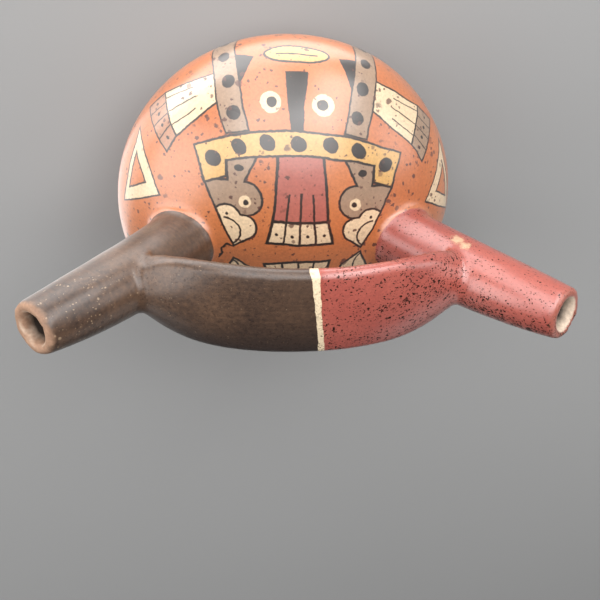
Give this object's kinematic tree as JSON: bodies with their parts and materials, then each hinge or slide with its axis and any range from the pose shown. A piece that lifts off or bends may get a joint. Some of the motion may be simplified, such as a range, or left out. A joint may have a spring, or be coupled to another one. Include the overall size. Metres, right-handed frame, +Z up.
{
  "type": "pottery bottle",
  "caption": "Hollow flattened round pottery bottle with leaning tapered spouts joined by an arched strap bridge, slip painted and burnished, standing on a small flat base.",
  "frame": {"origin": "centre of the flat base, on the surface that the bottle stands on", "axes": "+Z up along the body's axis, +X towards the dark spout and -X towards the red spout, -Y towards the front face of the painting"},
  "size_m": [0.1988, 0.14, 0.1283],
  "materials": {
    "painted_clay": "burnished coloured slips on fired clay, satin, with mineral specks and worn rims"
  },
  "bodies": {
    "root": {"bottle": "painted_clay"}
  },
  "joints": []
}
